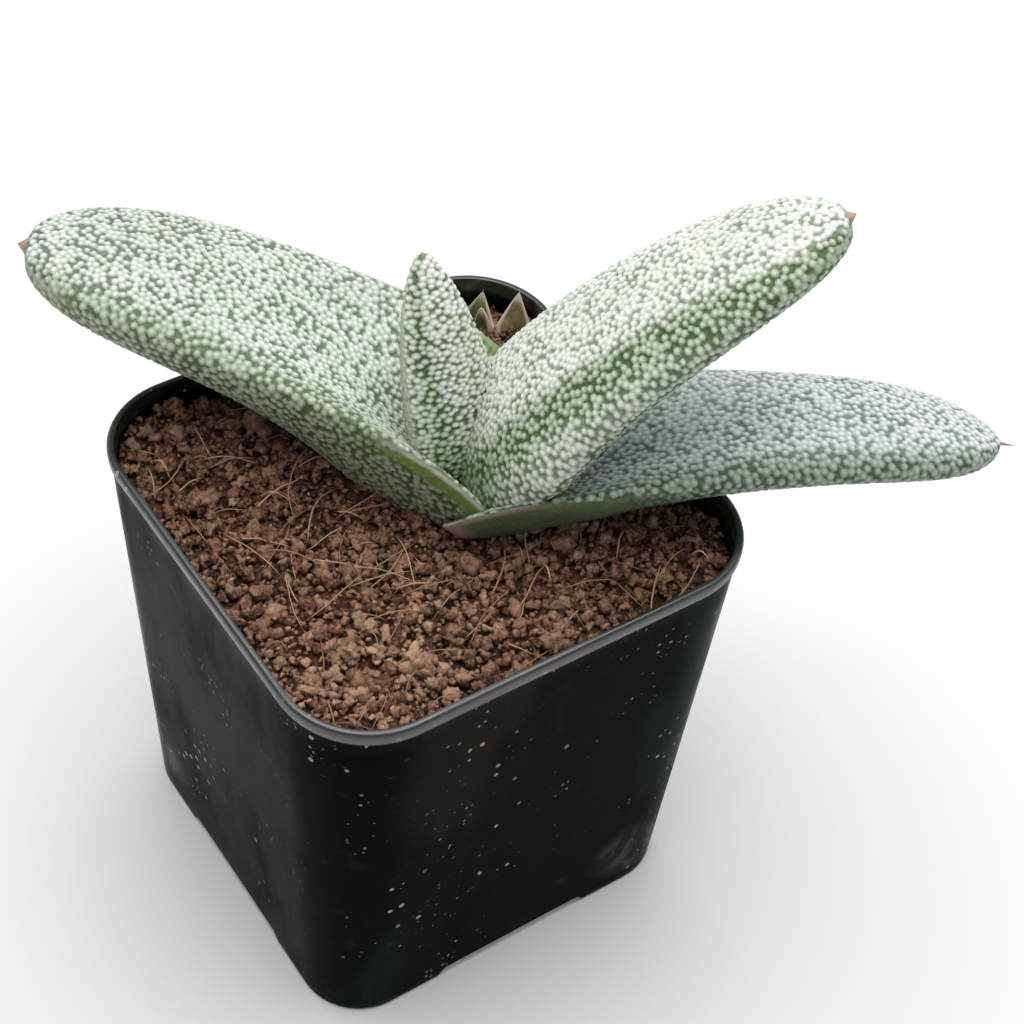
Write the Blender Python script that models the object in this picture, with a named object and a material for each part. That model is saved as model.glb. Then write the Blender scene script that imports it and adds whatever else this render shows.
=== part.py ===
"""A warty gasteria with a small offset, growing in a square nursery pot.

Sizes are in millimetres and are turned into metres when a mesh is made. The
pieces are first modelled around the upright axis of the pot, with the pot
standing on z = 0. At the end they are moved sideways together, so that the
origin is at the middle of the whole object's footprint.
"""

import math
from collections import namedtuple

import bmesh
import bpy
import numpy as np

MM = 0.001
GAP = 0.3                  # clearance between neighbouring pieces

# Pot: square, tapered, thin plastic with a beaded rim
POT_HEIGHT = 78.0
POT_TOP_HALF = 37.1        # half of the side, just under the rim
POT_BOTTOM_HALF = 32.8
POT_TOP_CORNER = 13.5      # radius of the upright corners
POT_BOTTOM_CORNER = 10.0
POT_WALL = 0.8
BOTTOM_EDGE = 0.7          # rounding where the walls meet the floor
RIM_HEIGHT = 2.4
RIM_PROUD = 0.4
RIM_ROUNDING = 0.5
BEVEL = 0.3                # where a rounding's middle ring lies, as a share of the rounding
CORNER_STEPS = 8
CUTTER_REACH = 5.0         # how far a cutter sticks out of what it cuts

# The floor is raised in a cross between four corner feet
ARCH_HEIGHT = 2.2
ARCH_HALF = 14.8
ARCH_SLOPE = 1.0
DRAIN_RADIUS = 3.2
DRAIN_SIDES = 16
DRAIN_PLACES = ((0.0, 0.0), (17.0, 0.0), (-17.0, 0.0), (0.0, 17.0), (0.0, -17.0))

# Soil
SOIL_LEVEL = 73.0
SOIL_EDGE_LEVEL = 72.4
SOIL_RINGS = 8
SOIL_BUMP = 0.55
SOIL_SLOPE = 3.0           # the soil reaches its full level at a third of the way in
SOIL_HEAP = 2.2            # how far the soil rises in the front and left corners
SOIL_HEAP_REACH = 11.0
HEAP_CORNERS = ((-31.0, 31.0), (-31.0, -31.0))

# Stem and roots
PLANT = (7.0, -1.8)        # the stem's place beside the pot's axis
STEM_TOP = 73.6
STEM_BOTTOM = 56.0
STEM_RADIUS = 5.6
STEM_SIDES = 16
STEM_PROFILE = ((0.0, 0.35), (0.15, 0.75), (0.45, 0.95), (0.75, 1.0), (0.92, 0.85), (0.98, 0.55))
ROOT_LENGTHS = (19.4, 22.3, 15.7, 21.6, 20.3, 16.2, 23.1)
ROOT_DROPS = (33.8, 26.1, 20.5, 29.6, 32.9, 23.0, 22.0)
ROOT_FIRST_HEADING = 20.0  # degrees from +X
ROOT_RADIUS = 1.7
ROOT_TIP_RADIUS = 0.45
ROOT_HEIGHT = 64.0
ROOT_START = 2.0           # a root begins this far from the stem's axis
ROOT_BEND = 1.8            # the higher, the later a root bends down
ROOT_WANDER = 1.6
ROOT_WAVES = 3.0
ROOT_SIDES = 8
ROOT_RINGS = 7
TUBE_ROOM = 1.7            # a tube of flat faces grows by this many times its clearance
POINT_REACH = 0.7          # a tube's pointed end, as a share of its radius there

# The offset in the far corner
PUP = (30.9, 27.4)
PUP_STEM_TOP = 72.6
PUP_STEM_BOTTOM = 64.0
PUP_STEM_RADIUS = 2.2
PUP_STEM_PROFILE = ((0.0, 0.25), (0.2, 0.6), (0.4, 0.9), (0.6, 1.0), (0.8, 0.95), (1.0, 0.6))

# Leaves. Headings and lifts are angles in degrees, heading from +X towards +Y
# and lift above the floor. root_lift is extra lift that fades along the leaf.
# cup raises the margins into a gutter, as a share of the half width, and fades
# out over cup_fade of the length.
Leaf = namedtuple(
    "Leaf",
    "root length heading lift root_lift roll width taper tip_power edge_power root_width above below point "
    "cup cup_fade",
)
LEAVES = {
    "leaf_centre": Leaf(
        root=(7.7, 1.2, 73.4), length=37.2, heading=(111.0, 79.0), lift=(81.5, 56.5), root_lift=0.0,
        roll=(-2.0, -13.0), width=16.7, taper=0.13, tip_power=2.2, edge_power=1.6, root_width=0.36,
        above=3.9, below=5.5, point=0.2, cup=0.0, cup_fade=1.0,
    ),
    "leaf_upper_right": Leaf(
        root=(7.4, -3.9, 73.4), length=72.0, heading=(-21.0, -23.0), lift=(61.5, 23.3), root_lift=30.0,
        roll=(6.0, -10.5), width=29.0, taper=0.17, tip_power=6.8, edge_power=2.0, root_width=0.38,
        above=4.3, below=7.0, point=1.0, cup=0.0, cup_fade=1.0,
    ),
    "leaf_left": Leaf(
        root=(11.7, -4.0, 73.6), length=80.2, heading=(112.7, 144.1), lift=(26.0, 5.6), root_lift=10.6,
        roll=(9.9, 1.3), width=32.8, taper=0.09, tip_power=6.1, edge_power=2.0, root_width=0.72,
        above=4.1, below=10.6, point=1.2, cup=1.0, cup_fade=0.4,
    ),
    "leaf_lower_right": Leaf(
        root=(2.3, -2.7, 75.3), length=85.8, heading=(-21.2, -28.6), lift=(17.6, -14.2), root_lift=14.6,
        roll=(-0.8, -8.8), width=30.3, taper=0.34, tip_power=14.0, edge_power=1.2, root_width=0.54,
        above=4.1, below=5.7, point=2.6, cup=0.94, cup_fade=0.35,
    ),
}
PUP_LEAVES = {
    "pup_leaf_inner": Leaf(
        root=(29.0, 28.0, 71.8), length=6.3, heading=(205.0, 200.0), lift=(84.0, 78.0), root_lift=0.0,
        roll=(0.0, 0.0), width=3.6, taper=0.2, tip_power=2.2, edge_power=1.5, root_width=0.7,
        above=0.7, below=0.8, point=0.4, cup=0.0, cup_fade=1.0,
    ),
    "pup_leaf_left": Leaf(
        root=(29.2, 29.4, 71.8), length=7.6, heading=(25.0, 25.0), lift=(90.0, 86.0), root_lift=0.0,
        roll=(0.0, 0.0), width=7.0, taper=0.5, tip_power=1.7, edge_power=1.3, root_width=0.7,
        above=0.9, below=1.2, point=0.8, cup=0.4, cup_fade=1.2,
    ),
    "pup_leaf_right": Leaf(
        root=(33.0, 25.1, 71.8), length=7.9, heading=(52.0, 40.0), lift=(80.0, 72.0), root_lift=0.0,
        roll=(0.0, 0.0), width=7.0, taper=0.5, tip_power=1.7, edge_power=1.3, root_width=0.7,
        above=0.9, below=1.2, point=0.8, cup=0.4, cup_fade=1.2,
    ),
}
ROOT_FADE = 0.12           # share of the length over which root_lift fades
NECK_POWER = 0.7
THINNING = 0.8             # how closely a leaf's thickness follows its width
TIP_CROWDING = 0.45        # how much closer together the rings lie near the tip
LEAF_RINGS = 20
LEAF_SIDES = 20
PUP_RINGS = 10
PUP_SIDES = 12
NECK = 0.25                # share of the length over which the leaf widens from its root
BODY_END = 0.992           # the blade stops here and its point begins

# Colours as linear red, green and blue, with roughness
FINISHES = {
    "pot": ((0.008, 0.010, 0.012), 0.25),
    "soil": ((0.105, 0.045, 0.022), 0.95),
    "stem": ((0.42, 0.30, 0.16), 0.80),
    "leaf": ((0.33, 0.42, 0.30), 0.50),
    "pup_leaf": ((0.20, 0.25, 0.06), 0.50),
}


def clear_scene():
    for obj in list(bpy.data.objects):
        bpy.data.objects.remove(obj, do_unlink=True)


def finish(name):
    """The material of this name, made on its first use."""
    material = bpy.data.materials.get(name)
    if material:
        return material
    colour, roughness = FINISHES[name]
    material = bpy.data.materials.new(name)
    material.use_nodes = True
    shader = material.node_tree.nodes["Principled BSDF"]
    shader.inputs["Base Color"].default_value = (*colour, 1.0)
    shader.inputs["Roughness"].default_value = roughness
    shader.inputs["Metallic"].default_value = 0.0
    material.diffuse_color = (*colour, 1.0)
    return material


def loft(name, rings, material, end_points=(None, None)):
    """A closed mesh through rings of equal length.

    Each end is closed by a fan to its end point, or by one flat face where
    the point is None.
    """
    rings = [np.asarray(ring, float) for ring in rings]
    mesh = bmesh.new()
    rows = [[mesh.verts.new(point * MM) for point in ring] for ring in rings]
    count = len(rows[0])
    for lower, upper in zip(rows, rows[1:]):
        for i in range(count):
            j = (i + 1) % count
            mesh.faces.new((lower[i], lower[j], upper[j], upper[i]))
    for row, end in zip((rows[0], rows[-1]), end_points):
        if end is None:
            mesh.faces.new(row)
            continue
        hub = mesh.verts.new(np.asarray(end, float) * MM)
        for i in range(count):
            mesh.faces.new((row[i], row[(i + 1) % count], hub))
    bmesh.ops.recalc_face_normals(mesh, faces=mesh.faces[:])
    bmesh.ops.triangulate(mesh, faces=mesh.faces[:])
    return object_from(name, mesh, material)


def object_from(name, mesh, material):
    """The scene object of a bmesh, shaded smooth except at sharp edges."""
    data = bpy.data.meshes.new(name)
    mesh.to_mesh(data)
    mesh.free()
    data.materials.append(finish(material))
    data.shade_smooth()
    data.set_sharp_from_angle(angle=math.radians(40.0))
    obj = bpy.data.objects.new(name, data)
    bpy.context.scene.collection.objects.link(obj)
    return obj


def apply_boolean(target, cutter, operation, keep_cutter=False):
    """Applies one exact Boolean to the target's mesh."""
    modifier = target.modifiers.new("boolean", "BOOLEAN")
    modifier.operation = operation
    modifier.solver = "EXACT"
    modifier.object = cutter
    graph = bpy.context.evaluated_depsgraph_get()
    data = bpy.data.meshes.new_from_object(target.evaluated_get(graph))
    target.modifiers.remove(modifier)
    old = target.data
    target.data = data
    bpy.data.meshes.remove(old)
    triangulate(data)
    if not keep_cutter:
        bpy.data.objects.remove(cutter, do_unlink=True)


def triangulate(data):
    mesh = bmesh.new()
    mesh.from_mesh(data)
    bmesh.ops.triangulate(mesh, faces=mesh.faces[:])
    mesh.to_mesh(data)
    mesh.free()


def clearance_body(obj):
    """A copy of a closed mesh with all its faces moved out by the clearance."""
    mesh = bmesh.new()
    mesh.from_mesh(obj.data)
    mesh.normal_update()
    moves = [vert.normal * vert.calc_shell_factor() * GAP * MM for vert in mesh.verts]
    for vert, move in zip(mesh.verts, moves):
        vert.co += move
    body = object_from("clearance", mesh, "stem")
    body.hide_render = True
    body.display_type = "WIRE"
    return body


def keep_largest(obj):
    """Deletes every loose piece of the mesh but the one with the most points."""
    mesh = bmesh.new()
    mesh.from_mesh(obj.data)
    left = set(mesh.verts)
    islands = []
    while left:
        island = {left.pop()}
        edge_of_island = list(island)
        while edge_of_island:
            vert = edge_of_island.pop()
            near = {edge.other_vert(vert) for edge in vert.link_edges} - island
            island |= near
            edge_of_island += near
        left -= island
        islands.append(island)
    islands.sort(key=len)
    loose = [vert for island in islands[:-1] for vert in island]
    bmesh.ops.delete(mesh, geom=loose, context="VERTS")
    mesh.to_mesh(obj.data)
    mesh.free()


def make_room(obj, clearances):
    """Cuts the clearance bodies of the neighbours out of the object."""
    for clearance in clearances:
        apply_boolean(obj, clearance, "DIFFERENCE", keep_cutter=True)
    keep_largest(obj)


def rounded_square(half, corner, z):
    """Points of a square with rounded corners, anticlockwise seen from above."""
    points = []
    for quarter in range(4):
        start = quarter * math.pi / 2
        centre_x = (half - corner) * (1 if quarter in (0, 3) else -1)
        centre_y = (half - corner) * (1 if quarter in (0, 1) else -1)
        for step in range(CORNER_STEPS + 1):
            angle = start + step / CORNER_STEPS * math.pi / 2
            points.append((centre_x + corner * math.cos(angle), centre_y + corner * math.sin(angle), z))
    return np.array(points)


def wall_ring(z, outset=0.0):
    """The ring of the pot's outer wall at this height, moved out by outset."""
    share = z / POT_HEIGHT
    half = POT_BOTTOM_HALF + (POT_TOP_HALF - POT_BOTTOM_HALF) * share
    corner = POT_BOTTOM_CORNER + (POT_TOP_CORNER - POT_BOTTOM_CORNER) * share
    return rounded_square(half + outset, corner + outset, z)


def arch_cutter(grow, along_x):
    """A bar with sloped sides that raises the floor between two pairs of feet."""
    reach = POT_TOP_HALF + CUTTER_REACH
    below = -CUTTER_REACH
    half = ARCH_HALF + grow
    top = ARCH_HEIGHT + grow
    profile = ((-half, below), (half, below), (half, 0.0), (half - 2 * ARCH_SLOPE, top),
               (-half + 2 * ARCH_SLOPE, top), (-half, 0.0))
    if along_x:
        rings = [[(x, y, z) for y, z in profile] for x in (-reach, reach)]
    else:
        rings = [[(-x, y, z) for x, z in profile] for y in (-reach, reach)]
    return loft("arch", rings, "pot")


def cut_arches(obj, grow):
    for along_x in (True, False):
        apply_boolean(obj, arch_cutter(grow, along_x), "DIFFERENCE")


def pot_outside():
    rim = POT_HEIGHT - RIM_HEIGHT
    rings = [
        wall_ring(0.0, -BOTTOM_EDGE),
        wall_ring(BEVEL * BOTTOM_EDGE, -BEVEL * BOTTOM_EDGE),
        wall_ring(BOTTOM_EDGE),
        wall_ring(rim - RIM_PROUD),
        wall_ring(rim + RIM_PROUD, RIM_PROUD),
        wall_ring(POT_HEIGHT - RIM_ROUNDING, RIM_PROUD),
        wall_ring(POT_HEIGHT - BEVEL * RIM_ROUNDING, RIM_PROUD - BEVEL * RIM_ROUNDING),
        wall_ring(POT_HEIGHT, RIM_PROUD - RIM_ROUNDING),
    ]
    return loft("pot", rings, "pot")


def pot_inside():
    above = POT_HEIGHT + CUTTER_REACH
    cavity = loft("cavity", [wall_ring(POT_WALL, -POT_WALL), wall_ring(above, -POT_WALL)], "pot")
    cut_arches(cavity, POT_WALL)
    return cavity


def drain_hole(x, y):
    turns = np.linspace(0.0, 2 * math.pi, DRAIN_SIDES, endpoint=False)
    rings = []
    for z in (-CUTTER_REACH, ARCH_HEIGHT + CUTTER_REACH):
        rings.append([(x + DRAIN_RADIUS * math.cos(a), y + DRAIN_RADIUS * math.sin(a), z) for a in turns])
    return loft("drain", rings, "pot")


def make_pot():
    pot = pot_outside()
    cut_arches(pot, 0.0)
    apply_boolean(pot, pot_inside(), "DIFFERENCE")
    for x, y in DRAIN_PLACES:
        apply_boolean(pot, drain_hole(x, y), "DIFFERENCE")
    return pot


def soil_height(x, y, centrality):
    """Height of the soil's surface; centrality is 0 at the wall and 1 at the middle."""
    level = SOIL_EDGE_LEVEL + (SOIL_LEVEL - SOIL_EDGE_LEVEL) * min(1.0, SOIL_SLOPE * centrality)
    bumps = math.sin(0.23 * x + 1.0) * math.cos(0.19 * y) + 0.6 * math.sin(0.47 * x + 0.36 * y)
    heap = 0.0
    for corner_x, corner_y in HEAP_CORNERS:
        distance = math.hypot(x - corner_x, y - corner_y)
        heap += SOIL_HEAP * math.exp(-((distance / SOIL_HEAP_REACH) ** 2))
    return level + SOIL_BUMP * bumps + heap


def make_soil():
    clearance = POT_WALL + GAP
    rings = [wall_ring(clearance, -clearance)]
    edge = wall_ring(SOIL_EDGE_LEVEL, -clearance)
    for share in np.linspace(0.0, 1.0, SOIL_RINGS, endpoint=False):
        ring = edge * (1.0 - share)
        for point in ring:
            point[2] = soil_height(point[0], point[1], share)
        rings.append(ring)
    middle = (0.0, 0.0, soil_height(0.0, 0.0, 1.0))
    soil = loft("soil", rings, "soil", (None, middle))
    cut_arches(soil, clearance)
    return soil


def tube(name, path, radii, sides, material, side):
    """A round closed tube along a path, with pointed ends.

    side is a direction that stays across the path all the way.
    """
    path = np.asarray(path, float)
    turns = np.linspace(0.0, 2 * math.pi, sides, endpoint=False)
    rings = []
    for i, radius in enumerate(radii):
        ahead = path[min(i + 1, len(path) - 1)] - path[max(i - 1, 0)]
        up = np.cross(ahead, side)
        up /= np.linalg.norm(up)
        across = np.cross(up, ahead)
        across /= np.linalg.norm(across)
        rings.append([path[i] + radius * (math.cos(a) * across + math.sin(a) * up) for a in turns])
    back = path[0] - path[1]
    ahead = path[-1] - path[-2]
    first = path[0] + back / np.linalg.norm(back) * radii[0] * POINT_REACH
    last = path[-1] + ahead / np.linalg.norm(ahead) * radii[-1] * POINT_REACH
    return loft(name, rings, material, (first, last))


def root_path(heading, length, drop):
    """A root that leaves the stem sideways and bends down."""
    shares = np.linspace(0.0, 1.0, ROOT_RINGS)
    reach = ROOT_START + length * shares
    fall = drop * shares**ROOT_BEND
    wander = ROOT_WANDER * np.sin(ROOT_WAVES * shares + heading)
    x = PLANT[0] + reach * math.cos(heading) - wander * math.sin(heading)
    y = PLANT[1] + reach * math.sin(heading) + wander * math.cos(heading)
    return np.stack([x, y, ROOT_HEIGHT - fall], axis=1)


def make_stem_with_roots(grow=0.0):
    """The stem and its roots as one piece, with every surface moved out by grow."""
    bottom = STEM_BOTTOM - grow
    height = STEM_TOP + grow - bottom
    path = [(*PLANT, bottom + height * share) for share, _ in STEM_PROFILE]
    radii = [STEM_RADIUS * width + TUBE_ROOM * grow for _, width in STEM_PROFILE]
    stem = tube("stem_with_roots", path, radii, STEM_SIDES, "stem", (1.0, 0.0, 0.0))
    for i, (length, drop) in enumerate(zip(ROOT_LENGTHS, ROOT_DROPS)):
        heading = math.radians(ROOT_FIRST_HEADING + 360.0 * i / len(ROOT_LENGTHS))
        radii = np.linspace(ROOT_RADIUS, ROOT_TIP_RADIUS, ROOT_RINGS) + TUBE_ROOM * grow
        path = root_path(heading, length, drop)
        across = (-math.sin(heading), math.cos(heading), 0.0)
        root = tube("root", path, radii, ROOT_SIDES, "stem", across)
        apply_boolean(stem, root, "UNION")
    return stem


def make_pup_stem():
    height = PUP_STEM_TOP - PUP_STEM_BOTTOM
    path = [(*PUP, PUP_STEM_BOTTOM + height * share) for share, _ in PUP_STEM_PROFILE]
    radii = [PUP_STEM_RADIUS * width for _, width in PUP_STEM_PROFILE]
    return tube("pup_stem", path, radii, PUP_SIDES, "stem", (1.0, 0.0, 0.0))


def leaf_centreline(leaf, shares):
    """Points and unit directions along the leaf, by steps of its heading and lift."""
    heading = np.radians(leaf.heading[0] + (leaf.heading[1] - leaf.heading[0]) * shares)
    lift = leaf.lift[0] + (leaf.lift[1] - leaf.lift[0]) * shares
    lift = np.radians(lift + leaf.root_lift * np.exp(-shares / ROOT_FADE))
    ahead = np.stack([np.cos(lift) * np.cos(heading), np.cos(lift) * np.sin(heading), np.sin(lift)], axis=1)
    points = np.zeros((len(shares), 3))
    points[0] = leaf.root
    steps = leaf.length * np.diff(shares)[:, None]
    points[1:] = points[0] + np.cumsum(0.5 * (ahead[1:] + ahead[:-1]) * steps, axis=0)
    return points, ahead, heading


def leaf_rings(leaf, ring_count, sides):
    """Rings of the blade from root to tip, and the tip of its small end point."""
    spread = np.linspace(0.0, 1.0, ring_count)
    crowded = np.sin(spread * math.pi / 2)
    shares = BODY_END * ((1.0 - TIP_CROWDING) * spread + TIP_CROWDING * crowded)
    points, ahead, heading = leaf_centreline(leaf, shares)
    side = np.stack([-np.sin(heading), np.cos(heading), np.zeros_like(heading)], axis=1)
    up = np.cross(ahead, side)
    roll = np.radians(leaf.roll[0] + (leaf.roll[1] - leaf.roll[0]) * shares)[:, None]
    across = np.cos(roll) * side + np.sin(roll) * up
    upward = np.cos(roll) * up - np.sin(roll) * side
    outline = (1.0 - leaf.taper * shares) * (1.0 - shares**leaf.tip_power) ** (1.0 / leaf.edge_power)
    neck = leaf.root_width + (1.0 - leaf.root_width) * np.clip(shares / NECK, 0.0, 1.0) ** NECK_POWER
    half = leaf.width / 2 * outline * neck
    thickness = (half / (leaf.width / 2)) ** THINNING
    gutter = leaf.cup * np.exp(-((shares / leaf.cup_fade) ** 2)) * half
    rings = []
    for i in range(ring_count):
        ring = []
        for angle in np.linspace(0.0, 2 * math.pi, sides, endpoint=False):
            depth = leaf.above if math.sin(angle) > 0 else leaf.below
            rise = depth * math.sin(angle) * thickness[i] + gutter[i] * (math.cos(angle) ** 2 - 0.5)
            ring.append(points[i] + half[i] * math.cos(angle) * across[i] + rise * upward[i])
        rings.append(ring)
    tip = points[-1] + ahead[-1] * (leaf.length * (1.0 - BODY_END) + leaf.point)
    return rings, tip


def make_leaf(name, leaf, ring_count, sides, material):
    rings, tip = leaf_rings(leaf, ring_count, sides)
    return loft(name, rings, material, (None, tip))


def make_leaves(table, ring_count, sides, material, stem_room):
    """The leaves from the innermost outwards, each one hollowed round those inside it."""
    clearances = [stem_room]
    leaves = []
    for name, leaf in table.items():
        blade = make_leaf(name, leaf, ring_count, sides, material)
        room = clearance_body(blade)
        make_room(blade, clearances)
        clearances.append(room)
        leaves.append(blade)
    return leaves, clearances


def centre_on_floor(objects):
    """Hangs all pieces on one empty, so that the origin is the middle of their footprint."""
    corners = []
    for obj in objects:
        points = np.empty(len(obj.data.vertices) * 3)
        obj.data.vertices.foreach_get("co", points)
        corners.append(points.reshape(-1, 3))
    points = np.concatenate(corners)
    middle = (points.min(axis=0) + points.max(axis=0)) / 2
    pot_axis = bpy.data.objects.new("pot_axis", None)
    bpy.context.scene.collection.objects.link(pot_axis)
    pot_axis.location = (-middle[0], -middle[1], 0.0)
    for obj in objects:
        obj.parent = pot_axis


def main():
    clear_scene()
    pot = make_pot()
    soil = make_soil()
    stem = make_stem_with_roots()
    pup_stem = make_pup_stem()
    stem_room = make_stem_with_roots(GAP)
    pup_room = clearance_body(pup_stem)
    leaves, rooms = make_leaves(LEAVES, LEAF_RINGS, LEAF_SIDES, "leaf", stem_room)
    pup_leaves, pup_rooms = make_leaves(PUP_LEAVES, PUP_RINGS, PUP_SIDES, "pup_leaf", pup_room)
    make_room(soil, rooms + pup_rooms)
    for clearance in rooms + pup_rooms:
        bpy.data.objects.remove(clearance, do_unlink=True)
    centre_on_floor([pot, soil, stem, pup_stem, *leaves, *pup_leaves])


main()
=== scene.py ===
"""Looks of a warty gasteria with a small offset, in a square black nursery pot.

Lengths are in millimetres around the pot's upright axis, with the pot standing
on z = 0, and become metres in the shared frame when a mesh is made.
"""

import math
from collections import namedtuple

import bmesh
import bpy
import numpy as np
from mathutils import Matrix, Vector
from mathutils.kdtree import KDTree


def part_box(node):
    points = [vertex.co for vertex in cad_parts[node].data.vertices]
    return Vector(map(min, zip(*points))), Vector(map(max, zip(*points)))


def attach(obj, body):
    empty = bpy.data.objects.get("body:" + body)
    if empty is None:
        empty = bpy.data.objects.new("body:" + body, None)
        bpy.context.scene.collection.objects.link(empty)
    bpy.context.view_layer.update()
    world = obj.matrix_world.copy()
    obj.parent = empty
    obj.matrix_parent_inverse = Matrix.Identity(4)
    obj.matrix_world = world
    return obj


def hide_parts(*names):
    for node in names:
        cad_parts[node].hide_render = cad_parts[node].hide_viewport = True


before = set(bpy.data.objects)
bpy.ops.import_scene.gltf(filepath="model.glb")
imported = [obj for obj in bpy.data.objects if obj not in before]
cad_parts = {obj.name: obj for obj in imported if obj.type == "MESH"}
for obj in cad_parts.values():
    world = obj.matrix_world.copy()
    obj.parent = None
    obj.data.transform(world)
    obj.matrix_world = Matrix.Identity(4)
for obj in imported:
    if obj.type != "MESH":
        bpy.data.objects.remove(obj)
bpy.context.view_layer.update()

MM = 0.001
pot_low, pot_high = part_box("pot")
POT_AXIS = np.array(((pot_low[0] + pot_high[0]) / 2, (pot_low[1] + pot_high[1]) / 2, 0.0)) / MM

# Camera, from the photograph: place, viewing direction and turn about it
CAMERA_PLACE = (-125.767, -183.363, 310.0)
CAMERA_AZIMUTH = -37.86
CAMERA_ELEVATION = 46.81
CAMERA_ROLL = 5.84
CAMERA_CLIP = (0.01, 20.0)  # in metres
FOCAL_PIXELS = 2207.0
PHOTO_PIXELS = 1024.0
SENSOR = 36.0

# Studio: an even sky and one soft lamp overhead, with places and sizes in metres
SKY_COLOUR = (0.95, 0.98, 1.0)
SKY_STRENGTH = 0.60
LAMP_PLACE = (0.04, 0.10, 0.80)
LAMP_TARGET = (-0.01, 0.0, 0.07)
LAMP_SIZE = 0.90
LAMP_WATTS = 5.6
LAMP_COLOUR = (1.0, 0.995, 0.98)
FLOOR_REACH = 2500.0  # in millimetres

# Pot, as in the CAD model
POT_HEIGHT = 78.0
POT_TOP_HALF = 37.1
POT_BOTTOM_HALF = 32.8
POT_TOP_CORNER = 13.5
POT_BOTTOM_CORNER = 10.0
POT_WALL = 0.8
RIM_HEIGHT = 2.4
BOTTOM_EDGE = 0.7
ARCH_HEIGHT = 2.2
ARCH_HALF = 14.8
ARCH_SLOPE = 1.0
DRAIN_RADIUS = 3.2
DRAIN_PLACES = ((0.0, 0.0), (17.0, 0.0), (-17.0, 0.0), (0.0, 17.0), (0.0, -17.0))

# The pot's finer shape. A profile lists heights and distances out from the wall; the
# rim's heights count from its underside
FOOT_PROFILE = ((0.0, -BOTTOM_EDGE), (0.08, -0.45), (0.3, -0.15), (BOTTOM_EDGE, 0.0))
RIM_PROFILE = ((-0.15, 0.06), (0.1, 0.26), (0.4, 0.38), (1.2, 0.42), (1.8, 0.40), (2.15, 0.26), (2.35, 0.04))
LIP_PROFILE = ((POT_HEIGHT, -0.25), (POT_HEIGHT - 0.08, -POT_WALL + 0.1), (POT_HEIGHT - 0.4, -POT_WALL))
WALL_START = 2.0  # the wall's even rows begin here and end just under the rim
WALL_END = POT_HEIGHT - RIM_HEIGHT - 0.5
WALL_ROWS = 26
WALL_WAVE = 0.12  # how far the flat sides sag inwards at their middle
LINING = POT_HEIGHT - 6.0  # down to here the inner wall is part of the shell
CAVITY_ROWS = (POT_WALL, 5.0, 40.0, LINING + 0.01)
CORNER_STEPS = 22
SIDE_STEPS = 12
DRAIN_SIDES = 40
CUTTER_REACH = 45.0
CUTTER_BELOW = 5.0
DRAIN_CUT = (-2.0, ARCH_HEIGHT + 4.0)
SHARP_ANGLE = 38.0

# Pale smears on the pot's wall: place and reach. The first, low on the left wall, is a painted reflection of
# a leaf
POT_PALE_SMEARS = (((-33.5, 22.0, 11.0), 8.0), ((22.0, -33.5, 10.0), 9.0))

# Soil, as in the CAD model
SOIL_LEVEL = 73.0
SOIL_EDGE_LEVEL = 72.4
SOIL_HALF = POT_TOP_HALF - 1.5
SOIL_SLOPE = 3.0  # the soil is level from a third of the way in
SOIL_BUMP = 0.55
SOIL_HEAP = 2.2
SOIL_HEAP_REACH = 11.0
HEAP_CORNERS = ((-31.0, 31.0), (-31.0, -31.0))

# The soil's finer shape, under its crumbs
SOIL_RINGS = 70
SOIL_MIDDLE = 0.985  # the rings end this share of the way to the pot's axis
SOIL_CLEARANCE = 0.05
SOIL_SINK = 0.5
SOIL_SEED = 5
SOIL_WAVES = 40
SOIL_WAVE_HEIGHT = 0.9
SOIL_WAVE_LENGTHS = (1.2, 6.0)
SOIL_PAINTED_SHADE = 0.60  # painted shade on the soil where no crumb covers it

# Crumbs on the soil: how many, their smallest and largest radius, and their ball's subdivisions
CRUMBS = {
    "soil_grit": (5000, (0.24, 0.55), 1),
    "soil_crumbs": (2000, (0.45, 1.05), 2),
    "soil_clods": (150, (0.8, 1.7), 3),
}
CRUMB_SEED = 11  # for the crumbs and then the fibres
CRUMB_FIELD = 36.5  # half of the square that crumbs are scattered over
CRUMB_ROOM = 0.9  # how far a crumb's middle stays from the pot's wall, in radii
CRUMB_LIFT = (-0.5, 1.0)  # how high a crumb's middle lies over the soil, in radii
CRUMB_STRETCH = (0.62, 1.2)
CRUMB_WAVES = 6
CRUMB_WAVE_HEIGHT = 0.20
CRUMB_ROUGHNESS = 0.13
CRUMB_UNDERSIDE = (-0.6, 0.25)  # painted shade darkens a crumb from the higher to the lower of these, in radii
# the darkest painted shade under a crumb
CRUMB_DARKEST = 0.75
TINT_SPREAD = (0.04, 0.20)  # mean and spread of the crumbs' tints
TINT_LIMITS = (-0.25, 0.8)
PALEST_TINT = 0.9
PAINTED_LIGHT_PLACE = (-24.0, -24.0)  # round here crumbs are painted paler, as painted light on the soil's front
PAINTED_LIGHT_REACH_SQUARED = 330.0
PAINTED_LIGHT_TINT = 0.80

# Fibres on the soil
FIBRES = 190
FIBRE_FIELD = 35.0
FIBRE_ROOM = 0.5
FIBRE_LENGTHS = (3.5, 15.0)
FIBRE_RADII = (0.05, 0.14)
FIBRE_STEPS = 16
FIBRE_SIDES = 5
FIBRE_BEND = 0.03  # spread of a fibre's even curve, in radians for each step
FIBRE_KINK = 0.06  # spread of the turns between its steps
FIBRE_HUMP = (0.1, 1.6)
HUMP_POWER = 1.3
FIBRE_END_LIFT = (-0.4, 0.9)
FIBRE_REST = 0.45

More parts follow.
